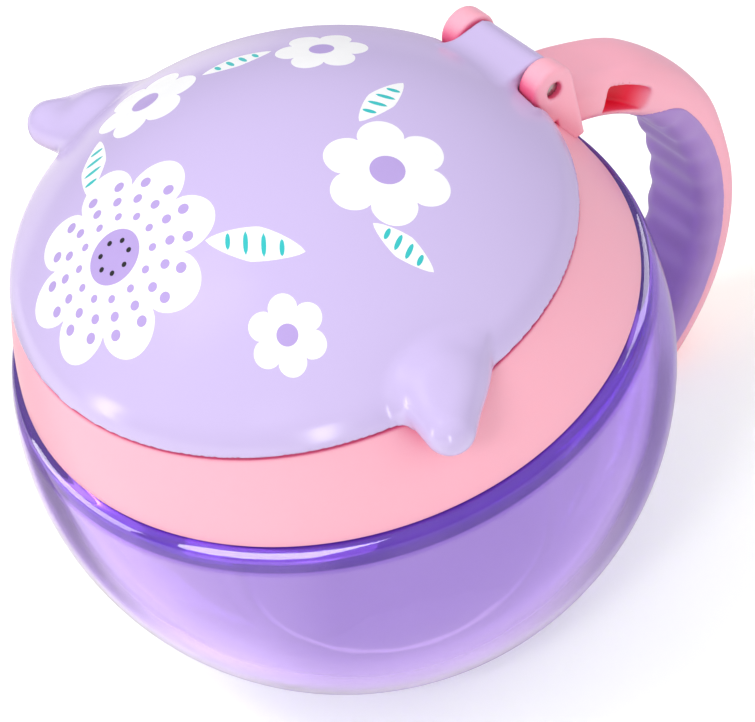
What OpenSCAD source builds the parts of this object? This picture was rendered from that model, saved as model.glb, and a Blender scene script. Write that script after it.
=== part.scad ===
// Toddler snack container: a ball-shaped clear cup with a screw-on collar, a soft-gripped
// handle, a flip lid on a steel pin and an insert with soft flaps that a hand reaches through.
// Millimetres. The origin is the centre of the flat base, +Z is up, +Y points to the handle.

/* [Cup] */
// Radius of the ball that the cup's outside follows
ball_r = 50; // [48:0.5:54]
// Height of the ball's centre above the flat base
ball_z = 43; // [41:0.5:45]
// Thickness of the cup's wall
cup_wall = 2.6; // [2:0.1:3.2]
// Thickness of the cup's floor
cup_floor = 3; // [2:0.2:5]
// Height of the flat shoulder above the ball's centre
shoulder_up = 13; // [11:0.5:14]
// Radius of the rounded edge of the shoulder
shoulder_round = 2.6; // [1.6:0.2:3.4]

/* [Neck and thread] */
// Radius of the round opening in the collar
mouth_r = 34; // [31:0.5:35]
// How far the neck's bore stands outside the opening
neck_margin = 2.2; // [1.6:0.1:2.6]
// Thickness of the neck's wall
neck_wall = 2.4; // [1.8:0.1:2.8]
// Height of the neck above the shoulder
neck_h = 10.4; // [9.6:0.2:12]
// Number of thread lugs round the neck
lug_count = 3; // [3:1:4]
// Arc that one lug covers, in degrees
lug_arc = 24; // [14:1:24]
// Height of a lug and of a collar ledge
thread_h = 1.8; // [1.2:0.1:2]
// How far a lug stands out of the neck
thread_depth = 1.3; // [1:0.1:1.6]
// Rise of the collar in one full turn
thread_lead = 18; // [12:1:20]
// Turn that frees the collar from the lugs, in degrees
turn_free = 65; // [50:1:65]
// Gap between a lug and its ledge
thread_gap = 0.25; // [0.2:0.05:0.4]

/* [Collar] */
// Thickness of the collar's skin
collar_wall = 2.2; // [1.6:0.1:2.6]
// How far the collar's lower edge stands inside the cup's outline
collar_inset = 1.2; // [0.8:0.1:2]
// How far the collar's sides swell past a straight cone
collar_swell = 0.45; // [0:0.05:0.8]
// Thickness of the collar's top deck
deck_t = 2.4; // [1.8:0.1:3]
// How far the collar's top stands outside the thread's bore
collar_margin = 1.7; // [1.5:0.1:3]
// Thickness of the inner skirt that carries the ledges
skirt_wall = 1.8; // [1.4:0.1:2.2]

/* [Lid] */
// How far the lid sits forward of the cup's axis
lid_shift = 2.45; // [1.5:0.1:3]
// How far the lid's rim overhangs the collar's top
lid_lip = 0.35; // [0:0.05:1]
// Height of the dome above the lid's rim
dome_h = 21.2; // [16:0.2:24]
// Height of the upright rim face of the lid
rim_face = 2.1; // [1.6:0.1:3]
// Thickness of the lid's shell
lid_wall = 2.2; // [1.6:0.1:2.8]
// Thickness of the plug ring below the dome
plug_wall = 1.7; // [1.2:0.1:2.4]
// How far the two side tabs reach past the lid's rim
tab_reach = 8.3; // [5:0.1:10]
// Radius of a tab's rounded tip
tab_tip_r = 3.7; // [3:0.1:4.4]
// How far forward of the lid's centre the tabs' tips lie
tab_forward = 9.4; // [6:0.1:12]

/* [Hinge] */
// Radius of the lid's hinge barrel
barrel_r = 3.3; // [2.8:0.1:3.5]
// Width of the hinge barrel
barrel_w = 13.2; // [10:0.2:16]
// Radius of the round top of the ears
ear_r = 3.9; // [3.4:0.1:4.2]
// Thickness of one ear
ear_w = 4; // [3:0.2:5]
// Radius of the steel pin
pin_r = 1.25; // [1:0.05:1.5]
// Radial clearance between the pin and the lid's barrel
pin_play = 0.08; // [0.04:0.01:0.1]
// How far the pin's ends sit inside the ears
pin_recess = 1; // [0.5:0.1:1.5]
// Height of the pin above the lid's lower rim
pin_up = 3.9; // [3.6:0.1:4.2]

/* [Handle] */
// Outer radius of the handle's round bow
bow_r = 37; // [36:0.5:38]
// Thickness of the handle
handle_t = 7.6; // [7:0.1:8.6]
// Width of the handle
handle_w = 13.8; // [12:0.2:16]
// Rounding of the handle's long edges
handle_round = 2.6; // [1.5:0.1:3]
// Room for fingers between the ball and the handle
finger_gap = 15.9; // [15:0.1:17]
// Angle below the horizontal at which the bow ends
bow_end = 58.5; // [50:0.5:60]
// Height of the handle's free end above the table
foot_clear = 1.1; // [0.6:0.1:3]
// Thickness of the soft grip
grip_t = 4.3; // [3:0.1:5]
// Number of finger ridges on the grip
ridge_count = 9; // [5:1:10]
// How far a ridge stands out of the grip
ridge_h = 0.6; // [0.2:0.1:0.8]
// Depth of the side pockets near the handle's root
pocket_d = 5; // [2:0.2:5.6]

/* [Flap insert] */
// Thickness of the ring that carries the flaps
ring_t = 2.2; // [1.8:0.1:2.6]
// Thickness of a flap
flap_t = 1.4; // [1:0.1:1.8]
// How far the flaps' roots sit inside the opening
flap_margin = 4.5; // [4.5:0.1:7]
// Width of the slits between the flaps
slit_w = 0.8; // [0.4:0.1:1.2]

/* [Hidden] */

cup_tint = "#9f84d6";
lavender = "#cfc0ea";
pink = "#f6bccb";
grip_purple = "#9075bd";
flap_lilac = "#e9e2f4";
steel = "#b9bcc2";

$fn = 96;
seat_gap = 0.35;
run_gap = 0.5;
over = 0.1;

// Heights, from the table up
shoulder_z = ball_z + shoulder_up;
neck_top = shoulder_z + neck_h;
ring_z = neck_top + 0.3;
deck_under = ring_z + ring_t + 0.3;
deck_z = deck_under + deck_t;
rim_z = deck_z + seat_gap;
pin_z = rim_z + pin_up;
collar_z = shoulder_z + seat_gap;

// Radii, from the mouth out
neck_in = mouth_r + neck_margin;
neck_out = neck_in + neck_wall;
lug_r = neck_out + thread_depth;
skirt_in = lug_r + run_gap;
collar_top_r = skirt_in + collar_margin;
collar_low_r = sqrt(pow(ball_r, 2) - pow(shoulder_up, 2)) - collar_inset;
lid_r = collar_top_r + lid_lip;
plug_r = mouth_r - run_gap;

// Dome of the lid: a sphere through the crown and the top of the rim face
dome_up = dome_h - rim_face;
dome_r = (pow(lid_r, 2) + pow(dome_up, 2)) / (2 * dome_up);
dome_z = rim_z + dome_h - dome_r;

// Hinge line
pin_y = lid_r - lid_shift + 0.25;
ear_in = barrel_w / 2 + 0.25;
ear_out = ear_in + ear_w;

// Handle bow: its middle line is an arc about [bow_y, bow_z] in the plane x = 0
bow_in = bow_r - handle_t;
bow_mid = bow_r - handle_t / 2;
bow_y = ball_r + finger_gap - bow_in;
bow_z = foot_clear + handle_t / 2 + bow_mid * sin(bow_end);
root_y = pin_y + ear_r + 1.2;
root_angle = acos((root_y - bow_y) / bow_mid);
grip_r = bow_in + grip_t;
grip_top = 40;
grip_lead = 13;
grip_low = bow_end - 2;
pocket_from = 46;
pocket_to = 63;

// Flaps
flap_count = 6;
flap_reach = mouth_r - flap_margin;
flap_z = ring_z + ring_t / 2;
flap_hinge = flap_reach - 0.3 - flap_t / 2;

// Solid round bar along X
module bar_x(r, x0, x1, y, z) {
    translate([x0, y, z]) rotate([0, 90, 0]) cylinder(r = r, h = x1 - x0);
}

// Rectangle with rounded corners, centred
module rounded(a, b, r) {
    square([a - 2 * r, b], center = true);
    square([a, b - 2 * r], center = true);
    for (i = [-1, 1], j = [-1, 1])
        translate([i * (a / 2 - r), j * (b / 2 - r)]) circle(r);
}

// Puts a shape drawn about Z at the handle's centre: local X runs to +Y, local Y to +Z
module at_bow() {
    translate([0, bow_y, bow_z]) rotate([90, 0, 90]) children();
}

// Sweeps a profile round the bow from angle a0 to a1
module bow_sweep(a0, a1) {
    at_bow() rotate([0, 0, a0]) rotate_extrude(angle = a1 - a0) children();
}

// Short rib along the thread's helix: arc degrees long, ending at angle a1
module helix_rib(r0, r1, z_mid, arc, a1) {
    steps = max(4, ceil(arc / 4));
    half = thread_h / 2;
    slope = (r1 - r0) * 0.25;
    ring = [for (i = [0 : steps])
        let (a = a1 - arc + arc * i / steps, z = z_mid + thread_lead * (a - a1) / 360)
        [for (p = [[r0, -half], [r1, -half + slope], [r1, half - slope], [r0, half]])
            [p[0] * cos(a), p[0] * sin(a), z + p[1]]]];
    last = 4 * steps;
    polyhedron(
        points = [for (s = ring) for (p = s) p],
        faces = concat(
            [[0, 1, 2, 3]],
            [for (i = [0 : steps - 1], k = [0 : 3])
                let (b = 4 * i, n = (k + 1) % 4)
                [b + k, b + 4 + k, b + 4 + n, b + n]],
            [[last + 3, last + 2, last + 1, last]]));
}

// Cup: a ball with a flat base, a rounded shoulder and a threaded neck
module cup() {
    top_in = shoulder_z - cup_wall;
    edge_r = sqrt(pow(ball_r, 2) - pow(shoulder_up, 2)) - shoulder_round * 0.62;
    round_z = shoulder_z - shoulder_round;
    lug_z = neck_top - 3.4;
    color(cup_tint, 0.5) difference() {
        union() {
            intersection() {
                translate([0, 0, ball_z]) sphere(ball_r);
                cylinder(r = ball_r + 1, h = round_z);
            }
            intersection() {
                translate([0, 0, ball_z]) sphere(ball_r);
                translate([0, 0, round_z - over]) {
                    cylinder(r = edge_r - shoulder_round * 0.4, h = shoulder_round + over);
                    rotate_extrude() translate([edge_r - shoulder_round * 0.4, 0])
                        intersection() {
                            circle(shoulder_round);
                            square(shoulder_round + 1);
                        }
                }
            }
            translate([0, 0, round_z]) cylinder(r = neck_out, h = neck_top - round_z);
            for (k = [0 : lug_count - 1])
                helix_rib(neck_out - 0.3, lug_r, lug_z, lug_arc, k * 360 / lug_count + lug_arc);
        }
        intersection() {
            translate([0, 0, ball_z]) sphere(ball_r - cup_wall);
            translate([0, 0, cup_floor]) cylinder(r = ball_r, h = top_in - cup_floor);
        }
        translate([0, 0, top_in - over]) cylinder(r = neck_in, h = neck_h + cup_wall + 1);
    }
}

// Ring of the insert: it rests on the cup's rim below the collar's deck
module flap_ring() {
    side_r = flap_reach / cos(180 / flap_count);
    color(flap_lilac) translate([0, 0, ring_z]) difference() {
        cylinder(r = lug_r, h = ring_t);
        translate([0, 0, -1]) rotate([0, 0, 180 / flap_count])
            cylinder(r = side_r, h = ring_t + 2, $fn = flap_count);
    }
}

// One soft flap; its root turns about a line at flap_hinge from the cup's axis
module flap(k) {
    half = tan(180 / flap_count);
    cut = slit_w / 2 / cos(180 / flap_count);
    tip = 3;
    root_half = flap_hinge * half - cut;
    tip_half = tip * half - cut;
    color(flap_lilac) rotate([0, 0, k * 360 / flap_count]) translate([0, 0, flap_z]) {
        translate([0, 0, -flap_t / 2]) linear_extrude(flap_t)
            polygon([[flap_hinge, -root_half], [flap_hinge, root_half], [tip, tip_half], [tip, -tip_half]]);
        translate([flap_hinge, -root_half, 0]) rotate([-90, 0, 0])
            cylinder(r = flap_t / 2, h = 2 * root_half, $fn = 32);
    }
}

module flap_1() { flap(0); }
module flap_2() { flap(1); }
module flap_3() { flap(2); }
module flap_4() { flap(3); }
module flap_5() { flap(4); }
module flap_6() { flap(5); }

// Outer form of the collar, drawn in by an inset: it leans from the round cup to the lid
module collar_form(inset) {
    mid_r = (collar_low_r + collar_top_r) / 2 + collar_swell;
    mid_z = (collar_z + deck_z) / 2;
    hull() {
        for (s = [[collar_z, collar_low_r - 0.4, 0],
                  [collar_z + 0.6, collar_low_r, 0],
                  [mid_z, mid_r, -lid_shift / 2],
                  [deck_z - 0.9, collar_top_r, -lid_shift],
                  [deck_z - over, collar_top_r - 0.5, -lid_shift]])
            translate([0, s[2], s[0]]) cylinder(r = s[1] - inset, h = over);
    }
}

// Ears of the hinge, down to the collar's skin
module ears() {
    for (s = [-1, 1]) {
        x0 = s > 0 ? ear_in : -ear_out;
        bar_x(ear_r, x0, x0 + ear_w, pin_y, pin_z);
        translate([x0, pin_y - ear_r, deck_under - 4.2])
            cube([ear_w, 2 * ear_r, pin_z - deck_under + 4.2]);
    }
}

// Stub behind the ears that the handle's root meets, square to Y
module handle_stub() {
    intersection() {
        bow_sweep(root_angle - 8, 88) translate([bow_mid, 0]) rounded(handle_t, handle_w, handle_round);
        translate([-handle_w, pin_y - ear_r, 0]) cube([2 * handle_w, root_y - pin_y + ear_r, 200]);
    }
}

// Collar: skin, deck, threaded skirt with ledges, hinge ears and the handle's stub
module collar() {
    ledge_z = neck_top - 3.4 - thread_h - thread_gap;
    ledge_arc = turn_free - 5;
    color(pink) difference() {
        union() {
            difference() {
                union() {
                    collar_form(0);
                    ears();
                    handle_stub();
                }
                difference() {
                    intersection() {
                        collar_form(collar_wall);
                        translate([0, 0, collar_z - 1]) cylinder(r = ball_r, h = deck_under - collar_z + 1);
                    }
                    cylinder(r = skirt_in + skirt_wall, h = deck_z);
                }
                translate([0, 0, collar_z - 1]) cylinder(r = skirt_in, h = deck_under - collar_z + 1);
                translate([0, 0, collar_z - 1]) cylinder(r = skirt_in + skirt_wall + over, h = 1.6);
                cylinder(r = mouth_r, h = deck_z + 20);
            }
            for (k = [0 : lug_count - 1])
                helix_rib(skirt_in + 0.3, neck_out + 0.4, ledge_z, ledge_arc,
                          k * 360 / lug_count + lug_arc);
        }
        bar_x(pin_r + 0.02, -ear_out - 1, ear_out + 1, pin_y, pin_z);
        bar_x(barrel_r + run_gap, -ear_in, ear_in, pin_y, pin_z);
    }
}

// Whole strap of the handle, root to rounded tip, before the grip is taken out of it
module strap() {
    bow_sweep(-bow_end, root_angle + 6) translate([bow_mid, 0]) rounded(handle_t, handle_w, handle_round);
    at_bow() rotate([0, 0, -bow_end]) intersection() {
        translate([bow_mid, 0, 0]) cylinder(r = handle_t / 2, h = handle_w, center = true);
        translate([bow_mid, 0, 0]) rotate([90, 0, 0])
            linear_extrude(handle_t, center = true) rounded(handle_t, handle_w, handle_round);
    }
}

// Space of the soft grip: the inner part of the bow, with a sloped lead at the top
module grip_zone() {
    wide = handle_w + 2;
    bow_sweep(-grip_low, grip_top) translate([bow_in - 3, -wide / 2]) square([grip_t + 3, wide]);
    at_bow() translate([0, 0, -wide / 2]) linear_extrude(wide) polygon([
        grip_r * [cos(grip_top), sin(grip_top)],
        (bow_in - 0.4) * [cos(grip_top + grip_lead), sin(grip_top + grip_lead)],
        (bow_in - 2) * [cos(grip_top + grip_lead / 2), sin(grip_top + grip_lead / 2)],
        (bow_in - 2) * [cos(grip_top - 1), sin(grip_top - 1)],
        grip_r * [cos(grip_top - 1), sin(grip_top - 1)]]);
}

// Handle: the stiff back of the bow with a blind pocket in each side near its root
module handle() {
    color(pink) difference() {
        intersection() {
            strap();
            translate([-50, root_y, -50]) cube([100, 200, 300]);
        }
        grip_zone();
        for (s = [-1, 1])
            bow_sweep(pocket_from, pocket_to)
                translate([bow_in + 1.3, s > 0 ? handle_w / 2 - pocket_d : -handle_w / 2 - 1])
                    square([handle_t - 3.1, pocket_d + 1]);
    }
}

// Soft grip: fills the inside of the bow and carries the finger ridges
module handle_grip() {
    ridge_r = 2.4;
    pitch = (grip_top + grip_low) / ridge_count;
    color(grip_purple) {
        intersection() {
            strap();
            grip_zone();
        }
        at_bow() for (i = [0 : ridge_count - 1])
            rotate([0, 0, grip_top - pitch * (i + 0.5)])
                translate([bow_in + ridge_r - ridge_h, 0, 0])
                    cylinder(r = ridge_r, h = handle_w - 2 * handle_round, center = true, $fn = 32);
    }
}

// Steel pin through both ears and the lid's barrel
module hinge_pin() {
    color(steel) bar_x(pin_r, -ear_out + pin_recess, ear_out - pin_recess, pin_y, pin_z);
}

// Plump side tab of the lid, a hull from the dome to a round tip
module side_tab(s) {
    tip_x = lid_r + tab_reach - tab_tip_r;
    hull() {
        translate([s * tip_x, -lid_shift - tab_forward, rim_z + 1.2]) sphere(tab_tip_r, $fn = 32);
        translate([s * (lid_r - 3.2), -lid_shift - tab_forward + 1.6, rim_z + 1.6]) sphere(4.2, $fn = 32);
        translate([s * (lid_r - 4.4), -lid_shift - 0.2, rim_z + 1.4]) sphere(4, $fn = 32);
        translate([s * (lid_r - 8), -lid_shift - tab_forward + 4, rim_z + 5]) sphere(3.4, $fn = 32);
    }
}

// Lid: dome, rim, plug ring, side tabs and the hinge barrel on its ramp
module lid() {
    ramp_y = pin_y - 8;
    color(lavender) difference() {
        union() {
            difference() {
                union() {
                    translate([0, -lid_shift, 0]) intersection() {
                        translate([0, 0, dome_z]) sphere(dome_r);
                        translate([0, 0, rim_z]) cylinder(r = lid_r, h = dome_h + 1);
                    }
                    side_tab(1);
                    side_tab(-1);
                }
                translate([0, -lid_shift, 0]) intersection() {
                    translate([0, 0, dome_z]) sphere(dome_r - lid_wall);
                    translate([0, 0, rim_z - 20]) cylinder(r = lid_r - lid_wall, h = dome_h + 20);
                }
                translate([0, -lid_shift, rim_z - 20]) cylinder(r = lid_r + 1.2, h = 20);
                for (s = [-1, 1]) {
                    x0 = s > 0 ? 0 : -ear_out - run_gap;
                    bar_x(ear_r + run_gap, x0, x0 + ear_out + run_gap, pin_y, pin_z);
                    translate([x0, pin_y - ear_r - run_gap, rim_z - 1])
                        cube([ear_out + run_gap, 10, pin_z - rim_z + 1]);
                }
            }
            intersection() {
                difference() {
                    cylinder(r = plug_r, h = rim_z + dome_h);
                    cylinder(r = plug_r - plug_wall, h = rim_z + dome_h);
                    cylinder(r = ball_r, h = ring_z + ring_t + 0.7);
                }
                translate([0, -lid_shift, dome_z]) sphere(dome_r - lid_wall / 2);
            }
            bar_x(barrel_r, -barrel_w / 2, barrel_w / 2, pin_y, pin_z);
            translate([-barrel_w / 2, 0, 0]) rotate([90, 0, 90]) linear_extrude(barrel_w)
                polygon([[pin_y, pin_z + barrel_r], [pin_y, pin_z - barrel_r + 0.2],
                         [ramp_y + 2, rim_z + 1.4], [ramp_y, pin_z + barrel_r - 1]]);
        }
        bar_x(pin_r + pin_play, -barrel_w, barrel_w, pin_y, pin_z);
    }
}

cup();
flap_ring();
flap_1();
flap_2();
flap_3();
flap_4();
flap_5();
flap_6();
collar();
handle();
handle_grip();
hinge_pin();
lid();
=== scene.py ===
"""Looks of a toddler snack container: clear ball cup, pink screw collar with a handle, lavender lid."""

import math

import bmesh
import bpy
import numpy as np
from mathutils import Matrix, Vector


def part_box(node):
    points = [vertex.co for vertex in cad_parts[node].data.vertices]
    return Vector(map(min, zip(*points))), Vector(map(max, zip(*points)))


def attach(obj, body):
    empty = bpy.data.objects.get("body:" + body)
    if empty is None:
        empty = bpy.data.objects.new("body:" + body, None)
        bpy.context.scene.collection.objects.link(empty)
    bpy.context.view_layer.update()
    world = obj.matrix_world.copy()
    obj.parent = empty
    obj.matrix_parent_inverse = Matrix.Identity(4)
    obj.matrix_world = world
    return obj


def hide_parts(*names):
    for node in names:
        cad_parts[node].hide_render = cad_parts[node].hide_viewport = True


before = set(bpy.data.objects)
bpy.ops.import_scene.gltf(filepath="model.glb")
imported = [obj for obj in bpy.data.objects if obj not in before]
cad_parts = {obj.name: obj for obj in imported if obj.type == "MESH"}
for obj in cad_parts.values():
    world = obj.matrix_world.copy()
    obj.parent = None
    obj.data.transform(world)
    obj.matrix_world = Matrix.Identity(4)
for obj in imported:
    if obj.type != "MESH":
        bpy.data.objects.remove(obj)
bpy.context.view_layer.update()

# Sizes in millimetres, as the CAD has them
MM = 0.001
ball_r = 50.0
ball_z = 43.0
cup_wall = 2.6
cup_floor = 3.0
shoulder_up = 13.0
shoulder_round = 2.6
mouth_r = 34.0
neck_in = 36.2
neck_out = 38.6
lug_count = 3
lug_arc = 24.0
thread_h = 1.8
thread_lead = 18.0
collar_wall = 2.2
collar_swell = 0.45
deck_t = 2.4
skirt_in = 40.4
skirt_wall = 1.8
seat_gap = 0.35
lid_shift = 2.45
lid_wall = 2.2
rim_face = 2.1
plug_wall = 1.7
barrel_r = 3.3
ear_r = 3.9
ear_w = 4.0
pin_play = 0.08
bow_r = 37.0
handle_t = 7.6
handle_w = 13.8
handle_round = 2.8
bow_end = math.radians(58.5)
grip_r = 33.7
flap_count = 6
slit_w = 0.8


def span(node):
    """Lowest and highest corner of a CAD node in millimetres."""
    low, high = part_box(node)
    return np.array(low) / MM, np.array(high) / MM


# Places read from the frame
pin_low, pin_high = span("hinge_pin")
pin_y = (pin_low[1] + pin_high[1]) / 2
pin_z = (pin_low[2] + pin_high[2]) / 2
pin_r = (pin_high[2] - pin_low[2]) / 2
ring_low, ring_high = span("flap_ring")
lug_r = ring_high[0]
neck_top = span("cup")[1][2]
collar_low = span("collar")[0]
lid_low, lid_high = span("lid")
handle_high = span("handle")[1]

shoulder_z = ball_z + shoulder_up
collar_z = shoulder_z + seat_gap
collar_low_r = -collar_low[1]
deck_under = ring_high[2] + 0.3
deck_z = deck_under + deck_t
rim_z = deck_z + seat_gap
collar_top_r = skirt_in + 1.7
lid_r = collar_top_r + 0.35
plug_r = mouth_r - 0.5
dome_up = lid_high[2] - rim_z - rim_face
dome_r = (lid_r ** 2 + dome_up ** 2) / (2 * dome_up)
dome_z = lid_high[2] - dome_r
barrel_half = 6.6
ear_in = barrel_half + 0.25
bow_in = bow_r - handle_t
bow_mid = bow_r - handle_t / 2
bow_y = handle_high[1] - bow_r
bow_z = 1.1 + handle_t / 2 + bow_mid * math.sin(bow_end)


class Network:
    """A node tree whose nodes are added and linked by short calls."""

    def __init__(self, tree):
        self.tree = tree

    def add(self, kind, inputs=(), **settings):
        """A new node with its settings, and its inputs given as values or as sockets to link."""
        node = self.tree.nodes.new(kind)
        for name, value in settings.items():
            setattr(node, name, value)
        for key, value in dict(inputs).items():
            if isinstance(value, bpy.types.NodeSocket):
                self.tree.links.new(value, node.inputs[key])
            else:
                node.inputs[key].default_value = value
        return node

    def ranged(self, value, low, high, to_low, to_high):
        """The value's range low to high, mapped smoothly to another range."""
        inputs = {"Value": value, "From Min": low, "From Max": high, "To Min": to_low, "To Max": to_high}
        return self.add("ShaderNodeMapRange", inputs, interpolation_type="SMOOTHSTEP").outputs["Result"]

    def mix(self, factor, first, second):
        """A blend of two colours."""
        return self.add("ShaderNodeMix", {0: factor, 6: first, 7: second}, data_type="RGBA").outputs[2]

    def math(self, operation, first, second=0.0):
        """One operation on one or two values."""
        return self.add("ShaderNodeMath", {0: first, 1: second}, operation=operation).outputs[0]

    def product(self, *values):
        """All the values multiplied."""
        result = values[0]
        for value in values[1:]:
            result = self.math("MULTIPLY", result, value)
        return result

    def total(self, *values):
        """All the values added."""
        result = values[0]
        for value in values[1:]:
            result = self.math("ADD", result, value)
        return result

    def along(self, vector, axis):
        """How far a vector reaches along a fixed axis."""
        inputs = {0: vector, 1: tuple(axis)}
        return self.add("ShaderNodeVectorMath", inputs, operation="DOT_PRODUCT").outputs["Value"]


class Finish(Network):
    """A material with one principled shader."""

    def __init__(self, name, **settings):
        self.material = bpy.data.materials.new(name)
        self.material.use_nodes = True
        super().__init__(self.material.node_tree)
        self.shader = self.tree.nodes["Principled BSDF"]
        for socket, value in settings.items():
            self.shader.inputs[socket.replace("_", " ")].default_value = value
        self.place = self.add("ShaderNodeTexCoord").outputs["Object"]

    def drive(self, socket, value):
        """Links a value to one of the shader's sockets."""
        self.tree.links.new(value, self.shader.inputs[socket])

    def noise(self, scale, detail=2.0, roughness=0.5):
        """Noise over the piece; the scale is in features per metre."""
        inputs = {"Vector": self.place, "Scale": scale, "Detail": detail, "Roughness": roughness}
        return self.add("ShaderNodeTexNoise", inputs).outputs["Fac"]

    def bump(self, height, distance, strength):
        """Relief in the shading; the distance is in metres."""
        inputs = {"Height": height, "Distance": distance, "Strength": strength}
        self.drive("Normal", self.add("ShaderNodeBump", inputs).outputs["Normal"])


def moulded(name, colour, deep, roughness, grain=0.00002, **settings):
    """Opaque moulded plastic or rubber: a slight drift of tone, uneven gloss and a fine grain."""
    finish = Finish(name, **settings)
    drift = finish.ranged(finish.noise(24, 2), 0.1, 0.9, 0.0, 1.0)
    finish.tone = finish.mix(drift, (*colour, 1), (*deep, 1))
    finish.drive("Base Color", finish.tone)
    handling = finish.noise(60, 3)
    finish.drive("Roughness", finish.ranged(handling, 0.1, 0.9, roughness - 0.03, roughness + 0.03))
    finish.bump(finish.noise(2600, 2), grain, 0.2)
    return finish


def clear_plastic():
    """Clear violet plastic: its wall absorbs light; painted shade darkens its thick shoulder under the collar
    to a deeper violet, darkest in patches on the inner face, and a painted glow lights it faintly.

    Heights and the distance from the ball's middle are in metres.
    """
    wall_tone = (0.95, 0.92, 1.0, 1)
    shoulder_shade_tone = (0.46, 0.24, 0.82, 1)
    inner_shade_tone = (0.04, 0.008, 0.24, 1)
    ball_middle = (0, 0, ball_z * MM)
    finish = Finish("clear violet plastic", IOR=1.5)
    height = finish.add("ShaderNodeSeparateXYZ", {"Vector": finish.place}).outputs["Z"]
    ends = {0: finish.place, 1: ball_middle}
    from_middle = finish.add("ShaderNodeVectorMath", ends, operation="DISTANCE").outputs["Value"]
    # Painted shade: a deeper violet on the shoulder under the collar, and a near-black violet in patches on
    # its inner face
    inner_face = finish.ranged(from_middle, 0.0485, 0.0489, 1.0, 0.0)
    inner_shade = finish.product(inner_face, finish.ranged(height, 0.0511, 0.0514, 0.0, 1.0))
    outer_shade = finish.ranged(height, 0.0518, 0.0532, 0.0, 1.0)
    shade_patches = finish.ranged(finish.noise(110, 2), 0.3, 0.7, 0.9, 1.0)
    tone = finish.mix(outer_shade, wall_tone, shoulder_shade_tone)
    finish.drive("Base Color", finish.mix(finish.product(inner_shade, shade_patches), tone, inner_shade_tone))
    # Painted shade: less light passes through the top of the shoulder
    finish.drive("Transmission Weight", finish.ranged(height, 0.0522, 0.0538, 0.97, 0.9))
    # Painted glow: a faint violet emission all over the cup, stronger at the top of the shoulder
    finish.shader.inputs["Emission Color"].default_value = (0.3, 0.12, 0.9, 1)
    finish.drive("Emission Strength", finish.ranged(height, 0.0535, 0.055, 0.012, 0.1))
    finish.drive("Roughness", finish.ranged(finish.noise(60, 3), 0.35, 0.75, 0.01, 0.035))
    finish.bump(finish.noise(60, 2), 0.0006, 0.12)
    absorbed = {"Color": (0.42, 0.02, 0.92, 1), "Density": 135.0}
    inside = finish.add("ShaderNodeVolumeAbsorption", absorbed).outputs["Volume"]
    finish.tree.links.new(inside, finish.tree.nodes["Material Output"].inputs["Volume"])
    return finish


def pink_plastic():
    """Satin pink plastic: painted shade deepens it in its creases and under overhangs, and a painted red glow
    fills the side pockets, standing in for light caught there.
    """
    crease_shade_tone = (0.82, 0.08, 0.2, 1)
    pocket_glow_tone = (0.92, 0.02, 0.07, 1)
    finish = moulded("satin pink plastic", (0.98, 0.445, 0.56), (0.96, 0.425, 0.54), 0.36)
    finish.shader.inputs["Subsurface Weight"].default_value = 0.12
    finish.shader.inputs["Subsurface Radius"].default_value = (1.0, 0.35, 0.3)
    finish.shader.inputs["Subsurface Scale"].default_value = 0.003
    # Painted glow: red in the side pockets, by the depth mask that the bow carries
    pocket_glow = finish.add("ShaderNodeAttribute", attribute_name="pocket_glow_mask").outputs["Fac"]
    # Painted shade: ambient occlusion deepens the pink towards crease red in creases and under overhangs
    open_sky = finish.add("ShaderNodeAmbientOcclusion", {"Distance": 0.007}, samples=8).outputs["AO"]
    crease_shade = finish.ranged(open_sky, 0.35, 0.97, 0.95, 0.0)
    tone = finish.mix(crease_shade, finish.tone, crease_shade_tone)
    finish.drive("Base Color", finish.mix(pocket_glow, tone, pocket_glow_tone))
    return finish


def soft_rubber():
    """Soft violet rubber of the grip: dull, with a fine skin."""
    finish = moulded("soft violet rubber", (0.40, 0.235, 0.60), (0.38, 0.22, 0.58), 0.5, 0.00004)
    finish.shader.inputs["Sheen Weight"].default_value = 0.15
    return finish


def milky_silicone():
    """Milky lilac silicone of the flaps."""
    finish = moulded("milky lilac silicone", (0.80, 0.74, 0.90), (0.76, 0.70, 0.88), 0.45, 0.00003)
    finish.shader.inputs["Subsurface Weight"].default_value = 0.3
    finish.shader.inputs["Subsurface Radius"].default_value = (1.0, 0.8, 1.0)
    finish.shader.inputs["Subsurface Scale"].default_value = 0.003
    return finish


def turned_steel():
    """Steel of the pin with the rings that turning leaves."""
    dark, light = (0.36, 0.34, 0.34, 1), (0.55, 0.53, 0.53, 1)
    ring_waves = 25000.0
    finish = Finish("turned steel", Metallic=1.0)
    along = finish.add("ShaderNodeSeparateXYZ", {"Vector": finish.place}).outputs["X"]
    rings = finish.add("ShaderNodeTexWave", {"Vector": finish.place, "Scale": 900.0, "Distortion": 2.0})
    finish.drive("Base Color", finish.mix(rings.outputs["Fac"], dark, light))
    finish.drive("Roughness", finish.ranged(finish.noise(900, 3), 0.3, 0.7, 0.22, 0.4))
    finish.bump(finish.math("SINE", finish.math("MULTIPLY", along, ring_waves)), 0.00001, 0.4)
    return finish


def print_ink(name, colour):
    """Thin ink of the print: flat, slightly uneven."""
    finish = Finish(name)
    drift = finish.ranged(finish.noise(300, 4), 0.3, 0.7, 0.0, 1.0)
    shade = tuple(c * 0.98 for c in colour)
    finish.drive("Base Color", finish.mix(drift, (*colour, 1), (*shade, 1)))
    finish.drive("Roughness", finish.ranged(finish.noise(900, 2), 0.3, 0.7, 0.3, 0.42))
    finish.bump(finish.noise(5000, 2), 0.00001, 0.3)
    return finish


clear = clear_plastic()
pink = pink_plastic()
lavender = moulded("satin lavender plastic", (0.585, 0.485, 0.785), (0.565, 0.465, 0.77), 0.2)
rubber = soft_rubber()
silicone = milky_silicone()
steel = turned_steel()
white_ink = print_ink("white print", (0.93, 0.93, 0.95))
lilac_ink = print_ink("lilac print", (0.47, 0.35, 0.72))
teal_ink = print_ink("teal print", (0.03, 0.52, 0.53))
black_ink = print_ink("black print", (0.012, 0.012, 0.015))


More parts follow.
